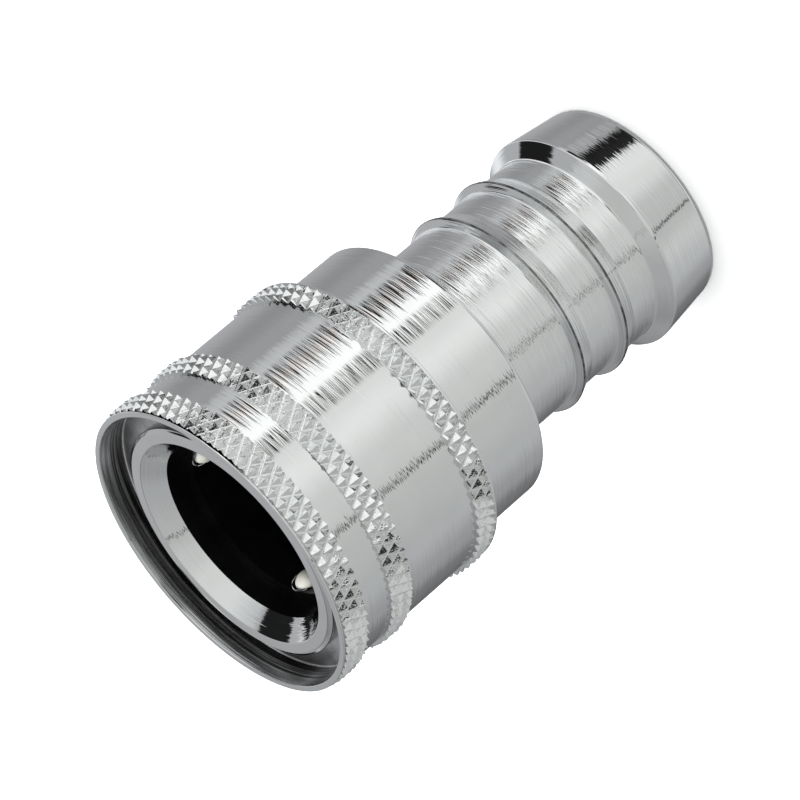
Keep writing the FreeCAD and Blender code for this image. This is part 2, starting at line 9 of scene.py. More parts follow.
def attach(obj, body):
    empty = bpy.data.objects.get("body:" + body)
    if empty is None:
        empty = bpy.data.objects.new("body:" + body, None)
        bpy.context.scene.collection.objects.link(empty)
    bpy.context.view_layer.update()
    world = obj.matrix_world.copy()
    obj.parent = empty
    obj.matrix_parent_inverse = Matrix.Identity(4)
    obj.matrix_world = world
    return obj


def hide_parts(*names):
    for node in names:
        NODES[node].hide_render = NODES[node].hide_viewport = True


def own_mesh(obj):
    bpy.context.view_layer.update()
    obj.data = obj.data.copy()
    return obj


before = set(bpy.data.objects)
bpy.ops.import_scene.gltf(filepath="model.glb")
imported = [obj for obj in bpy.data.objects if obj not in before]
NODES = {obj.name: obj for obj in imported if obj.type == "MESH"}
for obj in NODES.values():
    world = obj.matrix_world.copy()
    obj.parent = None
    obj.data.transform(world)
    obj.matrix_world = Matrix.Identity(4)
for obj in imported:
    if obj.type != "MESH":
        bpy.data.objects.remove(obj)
MM = 0.001
UP = Vector((0, 0, 1))


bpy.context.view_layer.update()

# Sizes in millimetres. Heights are above the tail's end face, as in the CAD part.
SEGMENTS = 256
ARC_STEP = math.radians(7)
FACE_MARGIN = 0.05
LAND_FACE_Z = 46.2
BARREL = 9.345
THREAD_CLEARANCE = 0.02

# Hose tail.
TAIL_BORE = 7.25
TAIL_END = 9.62
TAIL_END_ROUND = 0.45
BARB = 10.3
BARB_CREST_Z = 5.35
BARB_FACE_Z = 5.6
BARB_ROOT_Z = 6.55
BARB_ROUND = 0.12
NECK = 9.05
NECK_ROUND = 0.3
RIDGE = 9.77
RIDGE_FEET_Z = (9.25, 14.5)
RIDGE_SLOPE_LENGTH = 1.6
RIDGE_FACE_LENGTH = 0.4
RIDGE_FOOT_ROUND = 0.5
RIDGE_ROUND = 0.14
# Radius above which the ridge crests get painted shade.
SHADED_CREST = 9.66
COLLAR = 12.48
COLLAR_Z = 23.4
COLLAR_BEVEL_WIDTH = 1.3
COLLAR_BEVEL_LENGTH = 0.75
COLLAR_ROUND = 0.5
CUP = 11.75
CUP_RIM_Z = 36.7
CUP_FLOOR_Z = 31.9
CUP_CHAMFER = 0.25
GASKET_SEAT_Z = 26.5

# Socket body.
MOUTH = 9.83
MOUTH_Z = 47.6
MOUTH_ROUND = 0.12
MOUTH_FLAT = 10.8
MOUTH_FLAT_ROUND = 0.25
FLANGE = 11.15
FLANGE_EDGE_Z = 47.38
FLANGE_ROUND = 0.1
THREAD_RELIEF = 8.845
THREAD_TOP_Z = CUP_FLOOR_Z
RELIEF_TOP_Z = 32.8
THREAD_START_Z = 28.0
SOCKET_END_Z = 27.5
WATERWAY = 6.2
SHOULDER_Z = 32.8
NOSE_BORE = 6.9
NOSE_BORE_TOP_Z = 38.8
SEAL_GROOVE = 8.15
SEAL_FLOOR_Z = 35.75
SEAL_TOP_Z = 37.55
GUIDE = 7.7
GUIDE_FLOOR_Z = 39.6
GUIDE_TOP_Z = 43.8
ENTRY = 8.46
ENTRY_TOP_Z = 45.97

# Release sleeve.
LIP = 13.74
LIP_Z = 48.8
LIP_LENGTH = 0.1
LIP_ROUND = 0.05
LIP_INNER_ROUND = 0.08
UNDERCUT = 13.46
UNDERCUT_START = 0.16
UNDERCUT_END = 0.4
COUNTERBORE = 13.2
COUNTERBORE_ROUND = 0.14
SLEEVE = 13.5
SLEEVE_REAR_Z = 31.2
RIM = 13.87
RIM_WIDTH = 0.3
RIM_ROUND = 0.12
SLEEVE_BORE = 12.55
LAND_REAR_Z = 40.4
HOLD = 9.415
LAND_MOUTH = 10.334

# Knurled bands. Each has its two ends, the height of its first row and its turn in half pitches.
KNURL_GROOVE = 13.55
KNURL_CREST = 14.0
KNURL_COUNT = 76
ROW_PITCH = 1.0
KNURL_FOOT = 0.85
FOOT_WEAR = (-0.05, 0.04)
KNURL_TOP = 0.09
TOP_WEAR = 0.05
TOP_LEAN = 0.09
VALLEY_RISE = 0.05
VALLEY_SKEW = 0.06
VALLEY_ROUNDNESS = 1.2
FLANK_ROUNDNESS = (0.06, 0.06, 0.1, 0.1)
FRONT_BAND_Z = 48.46
BANDS = (
    (46.05, FRONT_BAND_Z, 47.8, 0.6),
    (41.0, 43.3, 42.63, -0.4),
    (31.45, 33.4, 33.3, 0.47),
)

# Balls and sleeve spring.
BALL_COUNT = 3
BALL_Z = 42.35
BALL_CENTRE = 8.11
BALL_RADIUS = 1.25
HOLE_RIM = 1.42
HOLE_RIM_HEIGHT = 0.1
COIL_RADIUS = 10.885
WIRE_RADIUS = 0.45
COIL_TURNS = 4
CLOSED_PITCH = 0.94
SPRING_FLOOR = CUP_FLOOR_Z
SPRING_TOP = 39.88


# Lathe meshes with exact normals.
def round_corner(before, corner, after, radius):
    """Points of the arc of that radius in a corner of an outline, with the arc's centre."""
    back = (before - corner).normalized()
    ahead = (after - corner).normalized()
    half = back.angle(ahead) / 2
    start = corner + back * (radius / math.tan(half))
    end = corner + ahead * (radius / math.tan(half))
    centre = corner + (back + ahead).normalized() * (radius / math.sin(half))
    first, last = start - centre, end - centre
    sweep = first.angle_signed(last)
    count = max(3, int(abs(sweep) / ARC_STEP))
    points = []
    for step in range(count + 1):
        arm = first.copy()
        arm.rotate(Matrix.Rotation(-sweep * step / count, 2))
        points.append(centre + arm)
    return points, centre


def outline_runs(corners):
    """Runs of a closed outline: lists of (point, normal), one run a straight side or a round."""
    points = [Vector(corner[:2]) for corner in corners]
    count = len(points)
    area = sum(points[i - 1].x * points[i].y - points[i].x * points[i - 1].y for i in range(count))
    side = 1 if area > 0 else -1
    rounds = {}
    for place, corner in enumerate(corners):
        if len(corner) == 3:
            after = points[(place + 1) % count]
            rounds[place] = round_corner(points[place - 1], points[place], after, corner[2])
    runs = []
    for place in range(count):
        following = (place + 1) % count
        if place in rounds:
            arc, centre = rounds[place]
            chord = arc[-1] - arc[0]
            outward = Vector((chord.y, -chord.x)) * side
            bulge = 1 if (arc[len(arc) // 2] - centre).dot(outward) > 0 else -1
            runs.append([(point, (point - centre).normalized() * bulge) for point in arc])
        start = rounds[place][0][-1] if place in rounds else points[place]
        end = rounds[following][0][0] if following in rounds else points[following]
        along = end - start
        if along.length > 1e-6:
            normal = Vector((along.y, -along.x)).normalized() * side
            runs.append([(start, normal), (end, normal)])
    return runs


class Shape:
    """Faces with their own corner normals, gathered for one mesh."""

    def __init__(self):
        self.points, self.faces, self.normals, self.found = [], [], [], {}

    def vertex(self, point):
        """Index of the vertex at a point, a new one where none is there yet."""
        key = (round(point[0], 5), round(point[1], 5), round(point[2], 5))
        if key not in self.found:
            self.found[key] = len(self.points)
            self.points.append(tuple(value * MM for value in point))
        return self.found[key]

    def face(self, points, normals):
        """Adds a face, turned so that it looks the way its normals do."""
        area = Vector((0, 0, 0))
        for here, there in zip(points, points[1:] + points[:1]):
            area += Vector(here).cross(Vector(there))
        if area.dot(sum((Vector(normal) for normal in normals), Vector((0, 0, 0)))) < 0:
            points, normals = points[::-1], normals[::-1]
        indices = [self.vertex(point) for point in points]
        kept = [i for i in range(len(indices)) if indices[i] != indices[i - 1]]
        if len(kept) < 3:
            return
        self.faces.append([indices[i] for i in kept])
        self.normals.append([normals[i] for i in kept])

    def turned(self, runs):
        """Adds the faces of runs that are turned about the Z axis."""
        steps = [2 * math.pi * i / SEGMENTS for i in range(SEGMENTS)]
        turns = [(math.cos(step), math.sin(step)) for step in steps]
        turns.append(turns[0])
        for run in runs:
            for start, end in zip(run, run[1:]):
                for near, far in zip(turns, turns[1:]):
                    corners = ((start, near), (start, far), (end, far), (end, near))
                    points, normals = [], []
                    for (point, normal), (cosine, sine) in corners:
                        points.append((point.x * cosine, point.x * sine, point.y))
                        normals.append((normal.x * cosine, normal.x * sine, normal.y))
                    self.face(points, normals)

    def tube(self, loops):
        """Adds the faces between each loop of (point, normal) and the next."""
        for here, there in zip(loops, loops[1:]):
            count = len(here)
            for corner in range(count):
                beside = (corner + 1) % count
                quad = [here[corner], here[beside], there[beside], there[corner]]
                self.face([tuple(point) for point, _ in quad], [tuple(normal) for _, normal in quad])

    def piece(self, name, materials, choose=None):
        """Object from the gathered faces; choose gives the place of a face's material."""
        mesh = bpy.data.meshes.new(name)
        mesh.from_pydata(self.points, [], self.faces)
        mesh.polygons.foreach_set("use_smooth", [True] * len(mesh.polygons))
        mesh.normals_split_custom_set([normal for face in self.normals for normal in face])
        for material in materials:
            mesh.materials.append(material)
        if choose is not None:
            for polygon in mesh.polygons:
                polygon.material_index = choose(polygon.center / MM)
        piece = bpy.data.objects.new(name, mesh)
        bpy.context.scene.collection.objects.link(piece)
        return piece


def hand_over(piece, body, node):
    """The piece stands for a CAD node and moves with its body."""
    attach(piece, body)
    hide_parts(node)


# Materials. A stretch is the number of features a metre along X, Y and Z.
CHROME = (0.79, 0.8, 0.795)
CHROME_ROUGHNESS = 0.05
HAZE_GRAIN = 300
DENT_GRAIN = 2400
FINE_MARKS = (110, 110, 4800)
COARSE_MARKS = (60, 60, 1900)
BORE_LINES = (45, 45, 4200)
BORE_MARKS = (90, 90, 6000)
# Heights between which the painted shade in the counterbore fades out towards the lip.
DEEPEST_SHADE_Z = 46.9
SHADE_FADED_Z = 48.7
# Bearing round the axis where the painted shade in the groove under the lip is darkest.
SHADE_SIDE_CENTRE = math.radians(-62)


class Material:
    """Principled material with helpers for its node tree."""

    def __init__(self, name, metallic, roughness):
        self.data = bpy.data.materials.new(name)
        self.data.use_nodes = True
        self.tree = self.data.node_tree
        self.shader = self.tree.nodes["Principled BSDF"]
        self.shader.inputs["Metallic"].default_value = metallic
        self.shader.inputs["Roughness"].default_value = roughness
        self.place = self.tree.nodes.new("ShaderNodeTexCoord").outputs["Object"]

    def node(self, kind, inputs=None, **settings):
        """Adds a node, with its inputs linked or set, and its own settings."""
        node = self.tree.nodes.new(kind)
        for key, value in settings.items():
            setattr(node, key, value)
        for key, value in (inputs or {}).items():
            if isinstance(value, bpy.types.NodeSocket):
                self.tree.links.new(value, node.inputs[key])
            else:
                node.inputs[key].default_value = value
        return node

    def noise(self, stretch, detail=2.0, roughness=0.5):
        """Noise with that many features a metre along each axis."""
        mapping = self.node("ShaderNodeMapping", {"Vector": self.place, "Scale": stretch})
        inputs = {"Vector": mapping.outputs[0], "Scale": 1.0, "Detail": detail, "Roughness": roughness}
        return self.node("ShaderNodeTexNoise", inputs).outputs["Fac"]

    def colours(self, factor, stops):
        """Base colour from a ramp with (position, colour) stops; one number is a grey."""
        node = self.node("ShaderNodeValToRGB", {"Fac": factor})
        elements = node.color_ramp.elements
        while len(elements) < len(stops):
            elements.new(0.5)
        for element, (position, colour) in zip(elements, stops):
            element.position = position
            element.color = (*colour, 1) if len(colour) == 3 else (colour[0],) * 3 + (1,)
        self.tree.links.new(node.outputs["Color"], self.shader.inputs["Base Color"])

    def bump(self, heights):
        """Chained bumps, each (height, strength, distance in metres)."""
        normal = None
        for height, strength, distance in heights:
            inputs = {"Height": height, "Strength": strength, "Distance": distance}
            if normal is not None:
                inputs["Normal"] = normal
            normal = self.node("ShaderNodeBump", inputs).outputs["Normal"]
        self.tree.links.new(normal, self.shader.inputs["Normal"])


def chrome(name, marks, dents=0.0, fineness=1.0):
    """Chrome plate over brass: marks and dents are the depths of turning marks and dents in metres."""
    made = Material(name, 1.0, CHROME_ROUGHNESS)
    haze = made.noise((HAZE_GRAIN,) * 3, 4.0, 0.6)
    made.colours(haze, [(0.3, CHROME), (0.7, tuple(value * 0.95 for value in CHROME))])
    fine = made.noise((*FINE_MARKS[:2], FINE_MARKS[2] * fineness), 2.0, 0.6)
    coarse = made.noise((*COARSE_MARKS[:2], COARSE_MARKS[2] * fineness), 2.0, 0.5)
    heights = [(fine, 1.0, marks), (coarse, 1.0, marks * 1.2)]
    if dents:
        heights.append((made.noise((DENT_GRAIN,) * 3, 3.0, 0.6), 1.0, dents))
    made.bump(heights)
    return made.data


def lined_with_shade(name):
    """Turned bore with painted shade: dark turning lines, darkest deep in the counterbore, that thin out
    towards the lip.
    """
    made = Material(name, 1.0, 0.13)
    lines = made.noise(BORE_LINES, 3.0, 0.7)
    height = made.node("ShaderNodeSeparateXYZ", {"Vector": made.place}).outputs["Z"]
    ends = {"Value": height, "From Min": DEEPEST_SHADE_Z * MM, "From Max": SHADE_FADED_Z * MM}
    shade_fade = made.node("ShaderNodeMapRange", ends)
    inputs = {0: shade_fade.outputs["Result"], 1: 0.36, 2: lines}
    painted_shade_tone = made.node("ShaderNodeMath", inputs, operation="MULTIPLY_ADD").outputs[0]
    made.colours(painted_shade_tone, [(0.5, (0.02,)), (0.62, (0.22,)), (0.74, (0.5,)), (0.88, (0.9,))])
    made.bump([(made.noise(BORE_MARKS, 2.0, 0.6), 1.0, 1.4e-5)])
    return made.data


def painted_shade_groove(name):
    """Chrome of a narrow groove, with painted shade, near black, over one side of it."""
    made = Material(name, 1.0, 0.3)
    parts = made.node("ShaderNodeSeparateXYZ", {"Vector": made.place}).outputs
    turn = made.node("ShaderNodeMath", {0: parts[1], 1: parts[0]}, operation="ARCTAN2").outputs[0]
    turn = made.node("ShaderNodeMath", {0: turn, 1: SHADE_SIDE_CENTRE}, operation="SUBTRACT").outputs[0]
    aside = made.node("ShaderNodeMath", {0: turn}, operation="ABSOLUTE").outputs[0]
    shade_patches = made.noise((700, 700, 700), 3.0, 0.6)
    painted_shade_tone = made.node("ShaderNodeMath", {0: shade_patches, 1: 0.5, 2: aside}, operation="MULTIPLY_ADD").outputs[0]
    made.colours(painted_shade_tone, [(0.8, (0.012,)), (1.0, CHROME)])
    return made.data


def plain(name, metallic, roughness, light, dark, grain, relief):
    """Surface whose colour varies softly between two tones; relief is its depth in metres."""
    made = Material(name, metallic, roughness)
    made.colours(made.noise((grain,) * 3, 4.0, 0.6), [(0.35, dark), (0.65, light)])
    made.bump([(made.noise((grain * 6,) * 3, 3.0, 0.6), 1.0, relief)])
    return made.data


turned_chrome = chrome("turned_chrome", marks=2.6e-5)
neck_chrome = chrome("neck_chrome", marks=3.3e-5, fineness=1.7)
barb_chrome = chrome("barb_chrome", marks=1.3e-5)
knurl_chrome = chrome("knurl_chrome", marks=3e-6, dents=5.2e-5)
# Painted shade: chrome turned near black on one side of the groove under the lip and on the front ends of
# the foremost band.
painted_shade_chrome = painted_shade_groove("painted_shade_chrome")
satin_chrome = plain("satin_chrome", 1.0, 0.34, (0.82, 0.82, 0.82), (0.6, 0.6, 0.6), 500, 6e-6)
# Painted shade: the counterbore's wall is coloured darker the deeper it lies, broken into turning lines.
shaded_lined_bore = lined_with_shade("shaded_lined_bore")
# Painted shade: the ridge crests are darkened in mottled grey to near black, standing in for the dark line
# at their edge.
crest_painted_shade = plain("crest_painted_shade", 1.0, 0.25, (0.34, 0.34, 0.33), (0.06, 0.06, 0.06), 900, 8e-6)
# Painted shade: the socket's bores are coloured near black in place of the darkness deep inside them.
painted_shade_bore = plain("painted_shade_bore", 1.0, 0.4, (0.05, 0.05, 0.052), (0.025, 0.025, 0.026), 400, 4e-6)
ball_steel = plain("ball_steel", 0.3, 0.4, (0.68, 0.67, 0.62), (0.58, 0.57, 0.52), 500, 3e-6)
spring_steel = plain("spring_steel", 1.0, 0.25, (0.6, 0.6, 0.6), (0.5, 0.5, 0.5), 300, 4e-6)
washer_steel = plain("washer_steel", 1.0, 0.3, (0.58, 0.58, 0.57), (0.48, 0.48, 0.48), 250, 4e-6)
black_rubber = plain("black_rubber", 0.0, 0.55, (0.03, 0.03, 0.03), (0.018, 0.018, 0.018), 400, 8e-6)
gasket_fibre = plain("gasket_fibre", 0.0, 0.8, (0.16, 0.07, 0.04), (0.1, 0.04, 0.025), 700, 2e-5)
for node, material in (
    ("spring_washer", washer_steel),
    ("plug_seal", black_rubber),
    ("body_gasket", gasket_fibre),
):
    NODES[node].data.materials.clear()
    NODES[node].data.materials.append(material)


# Pieces.
def tail_corners():
    """Outline of the hose tail."""
    corners = [
        (TAIL_BORE, 0),
        (TAIL_END, 0, TAIL_END_ROUND),
        (BARB, BARB_CREST_Z, BARB_ROUND),
        (BARB, BARB_FACE_Z, BARB_ROUND),
        (NECK, BARB_ROOT_Z, NECK_ROUND),
    ]
    for foot in RIDGE_FEET_Z:
        crest = foot + RIDGE_SLOPE_LENGTH
        corners += [
            (NECK, foot, RIDGE_FOOT_ROUND),
            (RIDGE, crest, RIDGE_ROUND),
            (NECK, crest + RIDGE_FACE_LENGTH, RIDGE_ROUND),
        ]
    corners += [
        (NECK, COLLAR_Z, NECK_ROUND),
        (COLLAR - COLLAR_BEVEL_WIDTH, COLLAR_Z, COLLAR_ROUND),
        (COLLAR, COLLAR_Z + COLLAR_BEVEL_LENGTH, COLLAR_ROUND),
        (COLLAR, CUP_RIM_Z - CUP_CHAMFER),
        (COLLAR - CUP_CHAMFER, CUP_RIM_Z),
        (CUP, CUP_RIM_Z),
        (CUP, CUP_FLOOR_Z),
        (BARREL + THREAD_CLEARANCE, CUP_FLOOR_Z),
        (BARREL + THREAD_CLEARANCE, GASKET_SEAT_Z),
        (TAIL_BORE, GASKET_SEAT_Z),
    ]
    return corners


def socket_corners():
    """Outline of the socket body."""
    return [
        (MOUTH, MOUTH_Z, MOUTH_ROUND),
        (MOUTH_FLAT, MOUTH_Z, MOUTH_FLAT_ROUND),
        (FLANGE, FLANGE_EDGE_Z, FLANGE_ROUND),
        (FLANGE, LAND_FACE_Z),
        (BARREL, LAND_FACE_Z),
        (BARREL, RELIEF_TOP_Z),
        (THREAD_RELIEF, RELIEF_TOP_Z),
        (THREAD_RELIEF, THREAD_TOP_Z),
        (BARREL, THREAD_TOP_Z),
        (BARREL, THREAD_START_Z),
        (THREAD_RELIEF, SOCKET_END_Z),
        (WATERWAY, SOCKET_END_Z),
        (WATERWAY, SHOULDER_Z),
        (NOSE_BORE, SHOULDER_Z),
        (NOSE_BORE, SEAL_FLOOR_Z),
        (SEAL_GROOVE, SEAL_FLOOR_Z),
        (SEAL_GROOVE, SEAL_TOP_Z),
        (NOSE_BORE, SEAL_TOP_Z),
        (NOSE_BORE, NOSE_BORE_TOP_Z),
        (GUIDE, GUIDE_FLOOR_Z),
        (GUIDE, GUIDE_TOP_Z),
        (ENTRY, GUIDE_TOP_Z),
        (ENTRY, ENTRY_TOP_Z),
    ]


def sleeve_corners():
    """Outline of the sleeve under its knurled bands."""
    return [
        (COUNTERBORE, LIP_Z, LIP_INNER_ROUND),
        (LIP, LIP_Z, LIP_ROUND),
        (LIP, LIP_Z - LIP_LENGTH),
        (UNDERCUT, LIP_Z - UNDERCUT_START),
        (UNDERCUT, LIP_Z - UNDERCUT_END),
        (SLEEVE, SLEEVE_REAR_Z + RIM_WIDTH),
        (RIM, SLEEVE_REAR_Z + RIM_WIDTH),
        (RIM, SLEEVE_REAR_Z, RIM_ROUND),
        (SLEEVE_BORE, SLEEVE_REAR_Z),
        (SLEEVE_BORE, LAND_REAR_Z),
        (HOLD, LAND_REAR_Z),
        (HOLD, BALL_Z),
        (LAND_MOUTH, LAND_FACE_Z),
        (COUNTERBORE, LAND_FACE_Z, COUNTERBORE_ROUND),
    ]


def clipped(corners, height, keep):
    """Part of a polygon of (point, normal) above (keep 1) or below (keep -1) a height."""
    kept = []
    for here, there in zip(corners, corners[1:] + corners[:1]):
        here_side = keep * (here[0].z - height)
        there_side = keep * (there[0].z - height)
        if here_side >= 0:
            kept.append(here)
        if here_side * there_side < 0:
            share = here_side / (here_side - there_side)
            kept.append((here[0].lerp(there[0], share), here[1].lerp(there[1], share)))
    return kept


def on_band(turn, height, radius):
    """Point at an angle, a height and a radius."""
    return Vector((radius * math.cos(turn), radius * math.sin(turn), height))


def outward(point):
    """Direction from the axis to a point."""
    return Vector((point.x, point.y, 0)).normalized()


def diamond(shape, turn, height, floor, top, wear):
    """One diamond of the knurl: four facets on a rounded valley floor, cut off at the band's ends.

    Places in it are shares of its half width round the sleeve and of its half height.
    """
    half_turn = math.pi / KNURL_COUNT
    corners = [(1, 0), (0, 1), (-1, 0), (0, -1)]
    foot = KNURL_FOOT + wear.uniform(*FOOT_WEAR)
    peak_radius = KNURL_CREST - wear.uniform(0.0, TOP_WEAR)
    lean_turn = wear.uniform(-TOP_LEAN, TOP_LEAN)
    lean_height = wear.uniform(-TOP_LEAN, TOP_LEAN)
    rings = []
    for share, skew, radius in (
        (1.0, 0.0, KNURL_GROOVE),
        (foot, VALLEY_SKEW, KNURL_GROOVE + VALLEY_RISE),
        (KNURL_TOP, 0.0, peak_radius),
    ):
        lean = 1 - share
        ring = []
        for across, along in corners:
            place_turn = turn + half_turn * (across * share - along * skew + lean_turn * lean)
            place_height = height + ROW_PITCH * (along * share - across * skew + lean_height * lean)
            ring.append(on_band(place_turn, place_height, radius))
        rings.append(ring)
    facets = []
    for side in range(4):
        beside = (side + 1) % 4
        valley = [rings[0][side], rings[0][beside], rings[1][beside], rings[1][side]]
        flank = [rings[1][side], rings[1][beside], rings[2][beside], rings[2][side]]
        flank_normal = (flank[1] - flank[0]).cross(flank[3] - flank[0]).normalized()
        if flank_normal.dot(outward(flank[0])) < 0:
            flank_normal = -flank_normal
        edge = [outward(point) for point in valley[:2]]
        foot_normals = []
        for point in valley[2:]:
            foot_normals.append((flank_normal + outward(point) * VALLEY_ROUNDNESS).normalized())
        facets.append(list(zip(valley, edge + foot_normals)))
        flank_normals = []
        for point, roundness in zip(flank, FLANK_ROUNDNESS):
            flank_normals.append((flank_normal + outward(point) * roundness).normalized())
        facets.append(list(zip(flank, flank_normals)))
    facets.append([(point, outward(point)) for point in rings[2]])
    for facet in facets:
        facet = clipped(clipped(facet, floor, 1), top, -1)
        if len(facet) < 3:
            continue
        shape.face([tuple(point) for point, _ in facet], [tuple(normal) for _, normal in facet])
        for (here, _), (there, _) in zip(facet, facet[1:] + facet[:1]):
            for end, up in ((floor, -1), (top, 1)):
                if abs(here.z - end) < 1e-4 and abs(there.z - end) < 1e-4:
                    band_end(shape, here, there, up)


def knurl(shape, floor, top, first_row, shift, wear):
    """Adds one knurled band between two heights, turned by a share of half the pitch."""
    first = math.floor((first_row - top) / ROW_PITCH) - 1
    last = math.ceil((first_row - floor) / ROW_PITCH) + 1
    for row in range(first, last + 1):
        for column in range(row % 2, 2 * KNURL_COUNT, 2):
            turn = math.pi * (column + shift) / KNURL_COUNT
            diamond(shape, turn, first_row - row * ROW_PITCH, floor, top, wear)


def band_end(shape, here, there, up):
    """Flat end of a band under one edge of its facets."""
    feet = []
    for point in (there, here):
        scale = UNDERCUT / math.hypot(point.x, point.y)
        feet.append((point.x * scale, point.y * scale, point.z))
    shape.face([tuple(there), tuple(here), feet[1], feet[0]], [(0, 0, up)] * 4)


tail = Shape()
tail.turned(outline_runs(tail_corners()))


def part_of_tail(centre):
    """0 for the collar, 1 for the ridged neck, 2 for the end barb, 3 for the crests of the ridges, which
    get painted shade.
    """
    on_shank = BARB_ROOT_Z + 1 < centre.z < COLLAR_Z - 1
    if on_shank and math.hypot(centre.x, centre.y) > SHADED_CREST:
        return 3
    return int(centre.z < COLLAR_Z) + int(centre.z < BARB_ROOT_Z - FACE_MARGIN)


tail_materials = [turned_chrome, neck_chrome, barb_chrome, crest_painted_shade]
tail_piece = tail.piece("tail_chrome", tail_materials, part_of_tail)
hand_over(tail_piece, "fixed_body", "hose_tail")


def in_bore(centre):
    """1 for the socket's bores below the cone of the mouth, 0 elsewhere."""
    radius = math.hypot(centre.x, centre.y)
    return int(radius < ENTRY + FACE_MARGIN and centre.z < ENTRY_TOP_Z - FACE_MARGIN)


socket = Shape()
socket.turned(outline_runs(socket_corners()))
# The socket's bores below the mouth's cone get the near-black painted shade.
socket_piece = socket.piece("socket_chrome", [turned_chrome, painted_shade_bore], in_bore)
hand_over(socket_piece, "fixed_body", "socket_body")


def sphere(centre, radius):
    """Shape of a ball."""
    shape = Shape()
    rows = 32
    columns = 64
    for row in range(rows):
        tilts = [math.pi * (row + step) / rows for step in (0, 1)]
        for column in range(columns):
            turns = [2 * math.pi * ((column + step) % columns) / columns for step in (0, 1)]
            normals = []
            for down, along in ((0, 0), (1, 0), (1, 1), (0, 1)):
                tilt = tilts[down]
                turn = turns[along]
                flat = math.sin(tilt)
                normals.append(Vector((flat * math.cos(turn), flat * math.sin(turn), math.cos(tilt))))
            points = [tuple(centre + normal * radius) for normal in normals]
            shape.face(points, [tuple(normal) for normal in normals])
    return shape


def hole_rim(turn):
    """Raised rim that was pressed up round a ball's hole in the guide bore."""
    shape = Shape()
    steps = 48
    ring = 10
    loops = []
    for step in range(steps):
        around = 2 * math.pi * step / steps
        aside = HOLE_RIM * math.cos(around)
        place = on_band(turn + aside / GUIDE, BALL_Z + HOLE_RIM * math.sin(around), GUIDE)
        inward = -outward(place)
        across = UP.cross(inward) * math.cos(around) + UP * math.sin(around)
        loop = []
        for corner in range(ring):
            tilt = 2 * math.pi * corner / ring
            normal = inward * math.cos(tilt) + across * math.sin(tilt)
            loop.append((place + normal * HOLE_RIM_HEIGHT, normal.normalized()))
        loops.append(loop)
    shape.tube(loops + loops[:1])
    return shape


for number in range(1, BALL_COUNT + 1):
    turn = 2 * math.pi * (number - 1) / BALL_COUNT
    centre = on_band(turn, BALL_Z, BALL_CENTRE)
    ball = sphere(centre, BALL_RADIUS).piece(f"ball_{number}", [ball_steel])
    hand_over(ball, f"ball_{number}", f"locking_ball_{number}")
    rim = hole_rim(turn).piece(f"ball_rim_{number}", [turned_chrome])
    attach(rim, "fixed_body")


def coil():
    """Sleeve spring: four turns, the first and the last closed and ground flat."""
    shape = Shape()
    steps = 48
    ring = 12
    open_turns = COIL_TURNS - 2
    pitch = (SPRING_TOP - SPRING_FLOOR - 2 * CLOSED_PITCH) / open_turns
    loops = []
    for step in range(COIL_TURNS * steps + 1):
        turned = step / steps
        height = CLOSED_PITCH * (min(turned, 1) + max(turned - open_turns - 1, 0))
        height += SPRING_FLOOR + pitch * min(max(turned - 1, 0), open_turns)
        centre = on_band(2 * math.pi * turned, height, COIL_RADIUS)
        loop = []
        for corner in range(ring):
            tilt = 2 * math.pi * corner / ring
            normal = outward(centre) * math.cos(tilt) + UP * math.sin(tilt)
            point = centre + normal * WIRE_RADIUS
            if not SPRING_FLOOR < point.z < SPRING_TOP:
                point.z = min(max(point.z, SPRING_FLOOR), SPRING_TOP)
                normal = UP if normal.z > 0 else -UP
            loop.append((point, normal))
        loops.append(loop)
    shape.tube(loops)
    for loop, side in ((loops[0], -1), (loops[-1], 1)):
        shape.face([tuple(point) for point, _ in loop], [(0, side, 0)] * ring)
    return shape


spring = coil().piece("spring_coil", [spring_steel])
hand_over(spring, "fixed_body", "sleeve_spring")
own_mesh(spring)


def part_of_sleeve(centre):
    """1 for the counterbore's wall, 2 for its floor, 3 for the groove under the lip, 0 elsewhere."""
    radius = math.hypot(centre.x, centre.y)
    above_floor = centre.z - LAND_FACE_Z
    below_lip = LIP_Z - centre.z
    floor_top = 2 * FACE_MARGIN
    # The counterbore's wall gets the lined painted shade.
    if radius < COUNTERBORE + FACE_MARGIN and above_floor > floor_top and below_lip > LIP_LENGTH:
        return 1
    if LAND_MOUTH < radius < COUNTERBORE and -FACE_MARGIN < above_floor < floor_top:
        return 2
    # The groove under the lip gets the one-sided painted shade.
    if radius > UNDERCUT - FACE_MARGIN and LIP_LENGTH < below_lip < UNDERCUT_END:
        return 3
    return 0


sleeve = Shape()
sleeve.turned(outline_runs(sleeve_corners()))
sleeve_materials = [turned_chrome, shaded_lined_bore, satin_chrome, painted_shade_chrome]
sleeve_piece = sleeve.piece("sleeve_chrome", sleeve_materials, part_of_sleeve)
hand_over(sleeve_piece, "sleeve", "release_sleeve")
wear = random.Random(11)
bands = Shape()
for band_floor, band_top, first_row, shift in BANDS:
    knurl(bands, band_floor, band_top, first_row, shift, wear)


def at_front(centre):
    """1 for the front end faces of the foremost band, 0 elsewhere."""
    return int(abs(centre.z - FRONT_BAND_Z) < 1e-3)


# The front end faces of the foremost band get the one-sided painted shade.
knurl_piece = bands.piece("sleeve_knurl", [knurl_chrome, painted_shade_chrome], at_front)
hand_over(knurl_piece, "sleeve", "release_sleeve")


